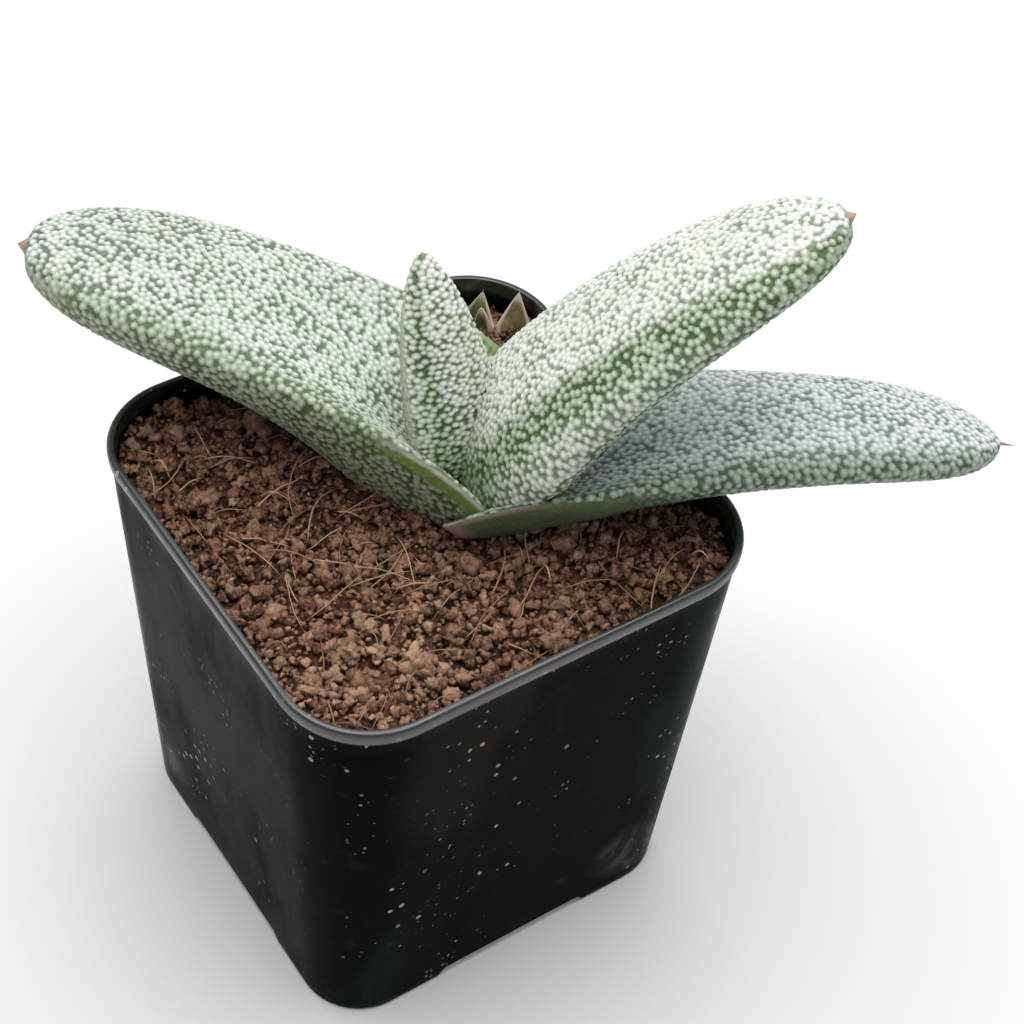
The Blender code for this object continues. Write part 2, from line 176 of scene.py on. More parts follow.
Leaf = namedtuple(
    "Leaf",
    "root length heading lift root_lift roll width taper tip_power edge_power root_width above below point "
    "cup cup_fade",
)
LEAVES = {
    "leaf_centre": Leaf(
        root=(7.7, 1.2, 73.4), length=37.2, heading=(111.0, 79.0), lift=(81.5, 56.5), root_lift=0.0,
        roll=(-2.0, -13.0), width=16.7, taper=0.13, tip_power=2.2, edge_power=1.6, root_width=0.36,
        above=3.9, below=5.5, point=0.2, cup=0.0, cup_fade=1.0,
    ),
    "leaf_upper_right": Leaf(
        root=(7.4, -3.9, 73.4), length=72.0, heading=(-21.0, -23.0), lift=(61.5, 23.3), root_lift=30.0,
        roll=(6.0, -10.5), width=29.0, taper=0.17, tip_power=6.8, edge_power=2.0, root_width=0.38,
        above=4.3, below=7.0, point=1.0, cup=0.0, cup_fade=1.0,
    ),
    "leaf_left": Leaf(
        root=(11.7, -4.0, 73.6), length=80.2, heading=(112.7, 144.1), lift=(26.0, 5.6), root_lift=10.6,
        roll=(9.9, 1.3), width=32.8, taper=0.09, tip_power=6.1, edge_power=2.0, root_width=0.72,
        above=4.1, below=10.6, point=1.2, cup=1.0, cup_fade=0.4,
    ),
    "leaf_lower_right": Leaf(
        root=(2.3, -2.7, 75.3), length=85.8, heading=(-21.2, -28.6), lift=(17.6, -14.2), root_lift=14.6,
        roll=(-0.8, -8.8), width=30.3, taper=0.34, tip_power=14.0, edge_power=1.2, root_width=0.54,
        above=4.1, below=5.7, point=2.6, cup=0.94, cup_fade=0.35,
    ),
}
PUP_LEAVES = {
    "pup_leaf_inner": Leaf(
        root=(29.0, 28.0, 71.8), length=6.3, heading=(205.0, 200.0), lift=(84.0, 78.0), root_lift=0.0,
        roll=(0.0, 0.0), width=3.6, taper=0.2, tip_power=2.2, edge_power=1.5, root_width=0.7,
        above=0.7, below=0.8, point=0.4, cup=0.0, cup_fade=1.0,
    ),
    "pup_leaf_left": Leaf(
        root=(29.2, 29.4, 71.8), length=7.6, heading=(25.0, 25.0), lift=(90.0, 86.0), root_lift=0.0,
        roll=(0.0, 0.0), width=7.0, taper=0.5, tip_power=1.7, edge_power=1.3, root_width=0.7,
        above=0.9, below=1.2, point=0.8, cup=0.4, cup_fade=1.2,
    ),
    "pup_leaf_right": Leaf(
        root=(33.0, 25.1, 71.8), length=7.9, heading=(52.0, 40.0), lift=(80.0, 72.0), root_lift=0.0,
        roll=(0.0, 0.0), width=7.0, taper=0.5, tip_power=1.7, edge_power=1.3, root_width=0.7,
        above=0.9, below=1.2, point=0.8, cup=0.4, cup_fade=1.2,
    ),
}
ROOT_FADE = 0.12
NECK = 0.25
NECK_POWER = 0.7
THINNING = 0.8
BODY_END = 0.9985  # the blade stops here and its point begins
TIP_START = 0.965  # from here to its end a blade has closer rows
TIP_ROWS = 18
OUTLINE_STEPS = 2000
PUP_STEP = 0.18  # size of the cells of the offset's leaves

# Wart field of each leaf: spacing, radius and height of the warts, how much the
# sides thin out, how much the warts are squashed along the leaf, and the size of
# the mesh's cells
Warts = namedtuple("Warts", "spacing radius height thinning squash step")
WARTS = {
    "leaf_centre": Warts(spacing=0.86, radius=0.70, height=0.42, thinning=0.16, squash=0.40, step=0.18),
    "leaf_upper_right": Warts(spacing=0.86, radius=0.70, height=0.44, thinning=0.20, squash=0.15, step=0.26),
    "leaf_left": Warts(spacing=0.86, radius=0.68, height=0.42, thinning=0.16, squash=0.0, step=0.285),
    "leaf_lower_right": Warts(spacing=0.86, radius=0.68, height=0.38, thinning=0.10, squash=0.0, step=0.285),
}

WART_SEED = 20
WART_SIZES = (0.82, 1.18)  # smallest and largest radius, as shares of the radius in the table
WART_TRIES = 7.0  # places tried for each square of one spacing
CELL_ROOM = 1.3  # size of the search cells, in spacings
BESIDE = [(i, j, k) for i in (-1, 0, 1) for j in (-1, 0, 1) for k in (-1, 0, 1)]
NEAREST_WARTS = 3

# Skin colours of each leaf, as linear red, green and blue: between the warts and
# on top of them, on the bright face and on the sides, and at its base. The sides'
# colours are the skin's greener tone with painted shade, so they are darker than the face's
Skin = namedtuple("Skin", "face_valley face_top side_valley side_top base")
SKINS = {
    "leaf_centre": Skin(
        face_valley=(0.20, 0.27, 0.15), face_top=(0.90, 0.90, 0.86),
        side_valley=(0.040, 0.105, 0.016), side_top=(0.60, 0.67, 0.54), base=(0.09, 0.16, 0.03),
    ),
    "leaf_upper_right": Skin(
        face_valley=(0.33, 0.38, 0.28), face_top=(0.93, 0.93, 0.90),
        side_valley=(0.045, 0.105, 0.020), side_top=(0.55, 0.61, 0.49), base=(0.08, 0.14, 0.025),
    ),
    "leaf_left": Skin(
        face_valley=(0.15, 0.20, 0.14), face_top=(0.80, 0.85, 0.78),
        side_valley=(0.080, 0.120, 0.045), side_top=(0.46, 0.51, 0.38), base=(0.16, 0.27, 0.05),
    ),
    "leaf_lower_right": Skin(
        face_valley=(0.22, 0.28, 0.25), face_top=(0.82, 0.84, 0.84),
        side_valley=(0.040, 0.080, 0.036), side_top=(0.36, 0.43, 0.35), base=(0.11, 0.16, 0.075),
    ),
}
MARGIN_COLOUR = (0.66, 0.66, 0.54)
SHEATH_COLOUR = (0.36, 0.27, 0.21)
TIP_COLOUR = (0.70, 0.38, 0.28)
PUP_GREEN = ((0.10, 0.15, 0.035), (0.30, 0.36, 0.12))
PUP_BROWN = ((0.24, 0.18, 0.08), (0.52, 0.38, 0.22))


# Shader helpers

def new_material(name):
    """A material with its node tree and its main shader."""
    material = bpy.data.materials.new(name)
    material.use_nodes = True
    tree = material.node_tree
    return material, tree, tree.nodes["Principled BSDF"]


def set_inputs(made, **values):
    """Give a node's inputs their values; a name has underscores for its spaces."""
    for key, value in values.items():
        made.inputs[key.replace("_", " ")].default_value = value


def node(tree, kind, **values):
    """A shader node with the given properties and input values."""
    made = tree.nodes.new(kind)
    for key, value in values.items():
        if hasattr(made, key) and key not in made.inputs:
            setattr(made, key, value)
        else:
            set_inputs(made, **{key: value})
    return made


def link(tree, source, target):
    tree.links.new(source, target)


def attribute(tree, name):
    return node(tree, "ShaderNodeAttribute", attribute_name=name).outputs["Fac"]


def noise(tree, scale, detail=4.0, roughness=0.55, stretch=None):
    """Noise in the object's own metres."""
    coordinates = tree.nodes.new("ShaderNodeTexCoord").outputs["Object"]
    if stretch:
        mapping = node(tree, "ShaderNodeMapping", Scale=stretch)
        link(tree, coordinates, mapping.inputs["Vector"])
        coordinates = mapping.outputs["Vector"]
    made = node(tree, "ShaderNodeTexNoise", Scale=scale, Detail=detail, Roughness=roughness)
    link(tree, coordinates, made.inputs["Vector"])
    return made.outputs["Fac"]


def remap(tree, value, low, high, to_low=0.0, to_high=1.0):
    """The value eased from the range low to high into another range."""
    made = node(tree, "ShaderNodeMapRange", interpolation_type="SMOOTHSTEP")
    set_inputs(made, From_Min=low, From_Max=high, To_Min=to_low, To_Max=to_high)
    link(tree, value, made.inputs["Value"])
    return made.outputs["Result"]


def mix(tree, factor, first, second):
    """A colour mix; each side is a colour or a socket. The node's inputs 6 and 7 are the colours."""
    made = node(tree, "ShaderNodeMix", data_type="RGBA")
    link(tree, factor, made.inputs["Factor"])
    for socket, value in zip(made.inputs[6:8], (first, second)):
        if isinstance(value, tuple):
            socket.default_value = (*value, 1.0)
        else:
            link(tree, value, socket)
    return made.outputs[2]


def arithmetic(tree, operation, first, second):
    made = node(tree, "ShaderNodeMath", operation=operation)
    for socket, value in zip(made.inputs, (first, second)):
        if isinstance(value, float):
            socket.default_value = value
        else:
            link(tree, value, socket)
    return made.outputs["Value"]


def multiply(tree, first, second):
    return arithmetic(tree, "MULTIPLY", first, second)


def add(tree, first, second):
    return arithmetic(tree, "ADD", first, second)


def bump(tree, shader, height, distance, strength):
    made = node(tree, "ShaderNodeBump", Distance=distance, Strength=strength)
    link(tree, height, made.inputs["Height"])
    link(tree, made.outputs["Normal"], shader.inputs["Normal"])


# Materials

def leaf_material(name, skin):
    """Green skin between warts that whiten towards their tops: their own white, with a painted highlight on
    each wart's top.

    The mesh carries the warts' height, the bright face, the leaf's base, its
    margins, its dry sheath and its tip as attributes.
    """
    material, tree, shader = new_material(name)
    # away from the face the skin takes the side colours: the sides' greener tone with painted shade
    face = attribute(tree, "face")
    valley = mix(tree, face, skin.side_valley, skin.face_valley)
    valley = mix(tree, attribute(tree, "base"), valley, skin.base)
    patches = remap(tree, noise(tree, 110.0, 3.0), 0.42, 0.70, 0.0, 0.45)
    valley = mix(tree, patches, valley, skin.side_valley)
    flecks = remap(tree, noise(tree, 1300.0, 2.0), 0.50, 0.75, 0.0, 0.20)
    valley = mix(tree, flecks, valley, skin.side_top)
    top = mix(tree, face, skin.side_top, skin.face_top)
    cloud = remap(tree, noise(tree, 60.0, 2.0), 0.40, 0.75, 0.0, 0.30)
    top = mix(tree, cloud, top, skin.side_top)
    height = attribute(tree, "wart")
    flank = remap(tree, height, 0.20, 0.88, 0.0, 0.60)
    # the warts' own white, with a painted highlight brightening their tops
    crown_white_and_highlight = remap(tree, height, 0.80, 1.0, 0.0, 0.40)
    colour = mix(tree, add(tree, flank, crown_white_and_highlight), valley, top)
    colour = mix(tree, attribute(tree, "margin"), colour, MARGIN_COLOUR)
    colour = mix(tree, attribute(tree, "sheath"), colour, SHEATH_COLOUR)
    colour = mix(tree, attribute(tree, "tip"), colour, TIP_COLOUR)
    link(tree, colour, shader.inputs["Base Color"])
    link(tree, remap(tree, height, 0.0, 1.0, 0.42, 0.58), shader.inputs["Roughness"])
    set_inputs(shader, Specular_IOR_Level=0.35, Subsurface_Weight=0.08, Subsurface_Scale=1.0)
    set_inputs(shader, Subsurface_Radius=(0.0006, 0.0009, 0.0004))
    bump(tree, shader, noise(tree, 2500.0, 3.0), 0.00008, 0.5)
    return material


def pup_material(name, dark, light):
    """Green or brownish skin with pale flecks and a dry pale margin."""
    material, tree, shader = new_material(name)
    green = mix(tree, remap(tree, noise(tree, 300.0), 0.35, 0.65), dark, light)
    spots = remap(tree, noise(tree, 1400.0, 2.0), 0.56, 0.66, 0.0, 0.6)
    green = mix(tree, spots, green, (0.30, 0.32, 0.16))
    colour = mix(tree, attribute(tree, "margin"), green, (0.80, 0.66, 0.56))
    link(tree, colour, shader.inputs["Base Color"])
    set_inputs(shader, Roughness=0.5)
    bump(tree, shader, noise(tree, 2000.0), 0.0001, 0.6)
    return material


def pot_material():
    """Shiny black plastic with fine scratches, dust, painted green and brown reflections and pale specks."""
    material, tree, shader = new_material("pot_plastic")
    # painted reflection: green streaks of reflected foliage
    painted_green_reflection = remap(tree, noise(tree, 55.0, 3.0, stretch=(1.0, 1.0, 0.20)), 0.50, 0.70)
    colour = mix(tree, painted_green_reflection, (0.0020, 0.0021, 0.0032), (0.0060, 0.0165, 0.0085))
    # painted reflection: brown streaks
    painted_brown_reflection = remap(tree, noise(tree, 38.0, 3.0, stretch=(1.0, 1.0, 0.35)), 0.56, 0.72, 0.0, 0.8)
    colour = mix(tree, painted_brown_reflection, colour, (0.015, 0.011, 0.010))
    dust = remap(tree, noise(tree, 160.0, 7.0, 0.75), 0.56, 0.85, 0.0, 0.05)
    colour = mix(tree, dust, colour, (0.40, 0.38, 0.34))
    scuffs = remap(tree, noise(tree, 420.0, 4.0, 0.7, (0.5, 0.5, 1.6)), 0.66, 0.72, 0.0, 0.10)
    scuff_patches = remap(tree, noise(tree, 50.0, 2.0), 0.54, 0.62)
    colour = mix(tree, multiply(tree, scuffs, scuff_patches), colour, (0.50, 0.50, 0.46))
    # pale smears; the one low on the left wall is a painted reflection of a leaf
    for centre, reach in POT_PALE_SMEARS:
        colour = mix(tree, pale_smear(tree, centre, reach), colour, (0.20, 0.22, 0.21))
    specks = speck_mask(tree, 560.0, 0.27)
    patches = remap(tree, noise(tree, 48.0, 2.0), 0.52, 0.62)
    colour = mix(tree, multiply(tree, specks, patches), colour, (0.33, 0.27, 0.19))
    fine_specks = speck_mask(tree, 1000.0, 0.30)
    fine_patches = remap(tree, noise(tree, 70.0, 3.0), 0.50, 0.64, 0.0, 0.7)
    colour = mix(tree, multiply(tree, fine_specks, fine_patches), colour, (0.30, 0.28, 0.25))
    link(tree, colour, shader.inputs["Base Color"])
    smears = remap(tree, noise(tree, 70.0, 5.0, 0.65, (1.0, 1.0, 0.5)), 0.35, 0.75, 0.20, 0.42)
    link(tree, smears, shader.inputs["Roughness"])
    place = tree.nodes.new("ShaderNodeSeparateXYZ")
    link(tree, tree.nodes.new("ShaderNodeTexCoord").outputs["Object"], place.inputs["Vector"])
    rim = (POT_HEIGHT - RIM_HEIGHT) * MM
    link(tree, remap(tree, place.outputs["Z"], rim - 0.5 * MM, rim + 0.5 * MM, 0.008, 1.0),
         shader.inputs["Specular IOR Level"])
    scratches = noise(tree, 500.0, 2.0, 0.5, (1.0, 1.0, 0.06))
    bump(tree, shader, scratches, 0.00005, 0.3)
    return material


def speck_mask(tree, scale, radius):
    """Small round spots of uneven size, at random places."""
    coordinates = tree.nodes.new("ShaderNodeTexCoord").outputs["Object"]
    cells = node(tree, "ShaderNodeTexVoronoi", Scale=scale, Randomness=1.0)
    link(tree, coordinates, cells.inputs["Vector"])
    chance = tree.nodes.new("ShaderNodeSeparateColor")
    link(tree, cells.outputs["Color"], chance.inputs["Color"])
    size = remap(tree, chance.outputs["Red"], 0.55, 1.0, 0.0, radius)
    return arithmetic(tree, "LESS_THAN", cells.outputs["Distance"], size)


def pale_smear(tree, centre, reach):
    """A faint uneven pale smear round one place on the pot's wall."""
    middle = Vector((np.array(centre) + POT_AXIS) * MM)
    distance = node(tree, "ShaderNodeVectorMath", operation="DISTANCE")
    link(tree, tree.nodes.new("ShaderNodeTexCoord").outputs["Object"], distance.inputs[0])
    distance.inputs[1].default_value = middle
    round_spot = remap(tree, distance.outputs["Value"], 0.3 * reach * MM, reach * MM, 1.0, 0.0)
    streaky = remap(tree, noise(tree, 190.0, 5.0, 0.65, (1.0, 1.0, 0.6)), 0.42, 0.68, 0.05, 0.40)
    return multiply(tree, round_spot, streaky)


def soil_material():
    """Crumbly coir: red-brown, with painted shade in its fine cracks, and tan on pale crumbs and on painted
    light at the soil's front.
    """
    material, tree, shader = new_material("coir_soil")
    fine = noise(tree, 1100.0, 6.0, 0.7)
    broad = remap(tree, noise(tree, 70.0, 3.0), 0.35, 0.7)
    dark = mix(tree, broad, (0.036, 0.015, 0.009), (0.125, 0.054, 0.032))
    colour = mix(tree, remap(tree, fine, 0.36, 0.66), dark, (0.50, 0.255, 0.165))
    colour = mix(tree, attribute(tree, "tint"), colour, (0.85, 0.54, 0.36))
    # painted shade: fine dark flecks in the cracks between crumbs
    shade_between_grains = remap(tree, noise(tree, 2600.0, 3.0, 0.6), 0.30, 0.50, 0.55, 0.0)
    colour = mix(tree, shade_between_grains, colour, (0.030, 0.014, 0.009))
    # painted shade between and under the crumbs
    colour = mix(tree, attribute(tree, "painted_shade"), colour, (0.014, 0.006, 0.004))
    link(tree, colour, shader.inputs["Base Color"])
    set_inputs(shader, Roughness=0.95, Specular_IOR_Level=0.12)
    bump(tree, shader, noise(tree, 1500.0, 6.0, 0.75), 0.0007, 1.0)
    return material


def fibre_material():
    material, tree, shader = new_material("coir_fibre")
    colour = mix(tree, attribute(tree, "tint"), (0.24, 0.12, 0.06), (0.58, 0.37, 0.23))
    link(tree, colour, shader.inputs["Base Color"])
    set_inputs(shader, Roughness=0.65)
    bump(tree, shader, noise(tree, 3000.0), 0.00005, 0.6)
    return material


def root_material():
    material, tree, shader = new_material("root_skin")
    colour = mix(tree, noise(tree, 300.0, 5.0), (0.20, 0.12, 0.06), (0.48, 0.36, 0.22))
    link(tree, colour, shader.inputs["Base Color"])
    set_inputs(shader, Roughness=0.8)
    bump(tree, shader, noise(tree, 900.0, 5.0), 0.0003, 0.7)
    return material


def floor_material():
    material, tree, shader = new_material("floor_pale")
    shade = mix(tree, noise(tree, 6.0, 2.0), (0.86, 0.86, 0.86), (0.89, 0.89, 0.89))
    link(tree, shade, shader.inputs["Base Color"])
    set_inputs(shader, Roughness=0.9, Specular_IOR_Level=0.1)
    return material


# Mesh helpers

def piece(name, points, faces, material, attributes=None, smooth=True):
    """A mesh object from points in millimetres around the pot's axis."""
    data = bpy.data.meshes.new(name)
    data.from_pydata((np.asarray(points) + POT_AXIS) * MM, [], faces)
    for key, values in (attributes or {}).items():
        layer = data.attributes.new(key, "FLOAT", "POINT")
        layer.data.foreach_set("value", np.asarray(values, np.float32).ravel())
    data.materials.append(material)
    if smooth:
        data.shade_smooth()
    data.update()
    obj = bpy.data.objects.new(name, data)
    bpy.context.scene.collection.objects.link(obj)
    return obj


def grid_faces(rows, cols, start=0):
    """Quads of a tube of rows, closed round its columns."""
    row = np.arange(rows - 1)[:, None] * cols
    col = np.arange(cols)[None, :]
    after = (col + 1) % cols
    quads = np.stack([row + col, row + after, row + cols + after, row + cols + col], axis=-1)
    return (quads.reshape(-1, 4) + start).tolist()


def fan(ring_start, cols, hub, flipped=False):
    """Triangles from a ring to its hub."""
    faces = [(ring_start + i, ring_start + (i + 1) % cols, hub) for i in range(cols)]
    return [face[::-1] for face in faces] if flipped else faces


def smoothstep(value, low, high):
    """0 up to low, 1 from high on, and eased between them."""
    share = np.clip((value - low) / (high - low), 0.0, 1.0)
    return share * share * (3.0 - 2.0 * share)


# Leaves

def centreline(leaf, shares):
    """Points, unit directions and headings along the leaf."""
    heading = np.radians(leaf.heading[0] + (leaf.heading[1] - leaf.heading[0]) * shares)
    lift = leaf.lift[0] + (leaf.lift[1] - leaf.lift[0]) * shares
    lift = np.radians(lift + leaf.root_lift * np.exp(-shares / ROOT_FADE))
    ahead = np.stack([np.cos(lift) * np.cos(heading), np.cos(lift) * np.sin(heading), np.sin(lift)], axis=1)
    points = np.zeros((len(shares), 3))
    points[0] = leaf.root
    steps = leaf.length * np.diff(shares)[:, None]
    points[1:] = points[0] + np.cumsum(0.5 * (ahead[1:] + ahead[:-1]) * steps, axis=0)
    return points, ahead, heading


def section_lengths(leaf):
    """Angles round the leaf's section, and its outline's length up to each, in angle steps."""
    fine = np.linspace(0.0, 2 * math.pi, OUTLINE_STEPS)
    depth = np.where(np.sin(fine) > 0, leaf.above, leaf.below)
    speed = np.hypot(leaf.width / 2 * np.sin(fine), depth * np.cos(fine))
    along = np.concatenate([[0.0], np.cumsum(0.5 * (speed[1:] + speed[:-1]))])
    return fine, along


def even_angles(leaf, step):
    """Angles round the section whose points lie about one step apart along its outline."""
    fine, along = section_lengths(leaf)
    girth = along[-1] * fine[1]
    count = int(girth / step)
    return np.interp(np.arange(count) / count * along[-1], along, fine)


def row_shares(leaf, step):
    """Shares of the length at which the blade has rows, closer together at its tip."""
    rows = int(leaf.length * TIP_START / step)
    body = np.linspace(0.0, TIP_START, rows, endpoint=False)
    end = np.sin(np.linspace(0.0, math.pi / 2, TIP_ROWS))
    return np.concatenate([body, TIP_START + (BODY_END - TIP_START) * end])


def blade(leaf, step):
    """The smooth blade as rows of rings.

    Returns its points, each row's share of the length, the angles round a ring,
    each row's upward direction and the leaf's end point.
    """
    shares = row_shares(leaf, step)
    angles = even_angles(leaf, step)
    points, ahead, heading = centreline(leaf, shares)
    side = np.stack([-np.sin(heading), np.cos(heading), np.zeros_like(heading)], axis=1)
    up = np.cross(ahead, side)
    roll = np.radians(leaf.roll[0] + (leaf.roll[1] - leaf.roll[0]) * shares)[:, None]
    across = np.cos(roll) * side + np.sin(roll) * up
    upward = np.cos(roll) * up - np.sin(roll) * side
    outline = (1.0 - leaf.taper * shares) * (1.0 - shares**leaf.tip_power) ** (1.0 / leaf.edge_power)
    neck = leaf.root_width + (1.0 - leaf.root_width) * np.clip(shares / NECK, 0.0, 1.0) ** NECK_POWER
    half = leaf.width / 2 * outline * neck
    thickness = (half / (leaf.width / 2)) ** THINNING
    rise = np.sin(angles) * np.where(np.sin(angles) > 0, leaf.above, leaf.below)
    gutter = leaf.cup * np.exp(-((shares / leaf.cup_fade) ** 2)) * half
    x = half[:, None] * np.cos(angles)
    y = thickness[:, None] * rise + gutter[:, None] * (np.cos(angles) ** 2 - 0.5)
    grid = points[:, None] + x[:, :, None] * across[:, None] + y[:, :, None] * upward[:, None]
    tip = points[-1] + ahead[-1] * (leaf.length * (1.0 - BODY_END) + leaf.point)
    return grid, shares, angles, upward, tip


def closed_blade(grid, tip):
    """Points and faces of a blade closed by fans, to the middle of its root and to its tip."""
    rows, cols = grid.shape[:2]
    points = np.concatenate([grid.reshape(-1, 3), [grid[0].mean(axis=0)], [tip]])
    faces = grid_faces(rows, cols)
    faces += fan(0, cols, rows * cols, flipped=True)
    faces += fan((rows - 1) * cols, cols, rows * cols + 1)
    return points, faces


def grid_normals(grid):
    """Outward unit normals at the grid's points."""
    along = np.gradient(grid, axis=0)
    around = np.roll(grid, -1, axis=1) - np.roll(grid, 1, axis=1)
    normals = np.cross(around, along)
    normals /= np.linalg.norm(normals, axis=2, keepdims=True) + 1e-12
    outward = grid - grid.mean(axis=1, keepdims=True)
    if (normals * outward).sum() < 0:
        normals = -normals
    return normals


def crowded(kept, cell, place, limit):
    """Whether a kept point lies too near, in this cell or one beside it; limit is squared."""
    x, y, z = place
    for i, j, k in BESIDE:
        for px, py, pz in kept.get((cell[0] + i, cell[1] + j, cell[2] + k), ()):
            if (px - x) ** 2 + (py - y) ** 2 + (pz - z) ** 2 < limit:
                return True
    return False


def scattered(grid, spacing, room, rng):
    """Points on the grid's surface, none nearer to another than the spacing times its room."""
    after = np.roll(grid, -1, axis=1)
    corner, right = grid[:-1], after[:-1]
    below, across = grid[1:], after[1:]
    area = np.linalg.norm(np.cross(right - corner, below - corner), axis=2)
    weights = (area / area.sum()).ravel()
    tries = int(WART_TRIES * area.sum() / spacing**2)
    quads = rng.choice(len(weights), size=tries, p=weights)
    rows, cols = np.divmod(quads, grid.shape[1])
    u = rng.random((tries, 1))
    v = rng.random((tries, 1))
    top = corner[rows, cols] * (1 - u) + right[rows, cols] * u
    low = below[rows, cols] * (1 - u) + across[rows, cols] * u
    places = top * (1 - v) + low * v
    limits = (spacing * room[rows, cols]) ** 2
    cells = np.floor(places / (spacing * CELL_ROOM)).astype(int)
    kept = {}
    chosen = []
    for index in range(tries):
        cell = tuple(cells[index])
        if not crowded(kept, cell, places[index], limits[index]):
            kept.setdefault(cell, []).append(tuple(places[index]))
            chosen.append(index)
    return places[chosen]


def wart_field(grid, centres, radii):
    """Height of the domes at each grid point, from 0 between them to 1 on top."""
    tree = KDTree(len(centres))
    for index, centre in enumerate(centres):
        tree.insert(centre, index)
    tree.balance()
    flat = grid.reshape(-1, 3)
    heights = np.zeros(len(flat))
    for index, point in enumerate(flat):
        best = 0.0
        for _, which, distance in tree.find_n(point, NEAREST_WARTS):
            share = distance / radii[which]
            if share < 1.0:
                best = max(best, math.sqrt(1.0 - share * share))
        heights[index] = best
    return heights.reshape(grid.shape[:2])


# Zones of each leaf's skin. In these functions "along" is the share of the length,
# "across" is 1 on one margin and -1 on the other, "depth" is 0 on both margins and 1
# at the middle of the underside, and "facing" is 1 on top and -1 underneath.

def centre_zones(along, across, zones):
    """A green band beside a pale margin, on a leaf that is greener towards its root."""
    band = np.exp(-(((across - 0.60) / 0.24) ** 2))
    whitening = 0.25 + 0.75 * smoothstep(along, 0.08, 0.55)
    zones["face"] = (1.0 - 0.9 * band) * whitening * zones["face"]
    zones["margin"] = smoothstep(across, 0.94, 0.99) * 0.6


def upper_right_zones(along, across, facing, zones):
    """A green band that slants over the face, white on one side of it and half as white beyond. The band is
    sparser warts with painted shade, and beyond it painted shade falls where the face turns down into the
    side.
    """
    above_band = across + 0.44 + 0.84 * (along - 0.39)
    # painted shade: the face only half as white beyond the band
    below_band = 0.5 * smoothstep(-above_band, 0.16, 0.45)
    whiter = np.maximum(smoothstep(above_band, 0.02, 0.30), below_band)
    zones["face"] = whiter * smoothstep(along, 0.0, 0.22) * smoothstep(facing, -0.6, 0.0)
    zones["base"] = zones["base"] + 0.5 * (1.0 - smoothstep(along, 0.02, 0.22))


def left_zones(along, across, depth, zones):
    """Painted shade on the edge towards the camera, which takes the darker green side colours, and at the
    root pale margins with bright green beside them.
    """
    low = 1.0 - smoothstep(along, 0.16, 0.30)
    pale_line = (1.0 - smoothstep(np.abs(depth), 0.03, 0.09)) * low * 0.9
    strip = smoothstep(depth, 0.04, 0.08) * (1.0 - smoothstep(depth, 0.16, 0.30)) * low
    # painted shade: the face gives way to the side colours towards the edge nearest the camera
    zones["face"] = zones["face"] * (1.0 - 0.8 * smoothstep(across, 0.55, 0.98))
    zones["margin"] = np.maximum(zones["margin"], pale_line)
    zones["base"] = np.maximum(strip, smoothstep(-across, 0.86, 0.95) * low)


def lower_right_zones(along, across, depth, zones):
    """Painted shade on the edge towards the camera, which takes the darker green side colours, a smoother
    wall at the root and a dry sheath at its foot.
    """
    ridge = smoothstep(-across, 0.990, 0.999) * (1.0 - smoothstep(along, 0.06, 0.24))
    foot = (1.0 - smoothstep(along, 0.015, 0.045)) * smoothstep(-across, 0.5, 0.9)
    # painted shade: the face gives way to the side colours towards the edge nearest the camera
    zones["face"] = zones["face"] * smoothstep(across, -0.97, -0.55)
    zones["base"] = smoothstep(-across, 0.1, 0.7) * (depth > 0.0) * (1.0 - smoothstep(along, 0.24, 0.46))
    zones["sheath"] = np.maximum(ridge, foot)


def leaf_zones(name, shares, angles, facing):
    """How much of each skin zone lies at each grid point, as shares from 0 to 1."""
    across = np.cos(angles)[None, :] * np.ones_like(facing)
    depth = -np.sin(angles)[None, :] * np.ones_like(facing)
    along = shares[:, None]
    zones = {
        # where this is low the skin takes the side colours, which hold painted shade
        "face": smoothstep(facing, -0.20, 0.28),
        "base": np.zeros_like(facing),
        "margin": smoothstep(np.abs(across), 0.98, 1.0) * smoothstep(along, 0.84, 0.97) * 0.5,
        "sheath": np.zeros_like(facing),
    }
    if name == "leaf_centre":
        centre_zones(along, across, zones)
    elif name == "leaf_upper_right":
        upper_right_zones(along, across, facing, zones)
    elif name == "leaf_left":
        left_zones(along, across, depth, zones)
    elif name == "leaf_lower_right":
        lower_right_zones(along, across, depth, zones)
    return zones


def squashed(grid, amount):
    """The points stretched lengthwise, so that evenly spread warts on them come out squashed."""
    axis = grid[-1].mean(axis=0) - grid[0].mean(axis=0)
    axis /= np.linalg.norm(axis)
    return grid + amount * (grid @ axis)[:, :, None] * axis


def wart_heights(grid, shares, zones, warts, rng):
    """Height of the warts, from 0 to 1, lower in the smooth zones and gone at both ends."""
    crowd = 1.0 + warts.thinning * (1.0 - zones["face"])
    spread = squashed(grid, warts.squash)
    centres = scattered(spread, warts.spacing, crowd, rng)
    radii = warts.radius * rng.uniform(*WART_SIZES, len(centres))
    wart = wart_field(spread, centres, radii)
    wart *= (smoothstep(shares, 0.0, 0.05) * (1.0 - smoothstep(shares, 0.985, 0.998)))[:, None]
    wart *= (1.0 - 0.85 * zones["sheath"]) * (1.0 - 0.8 * zones["margin"]) * (1.0 - 0.65 * zones["base"])
    return wart


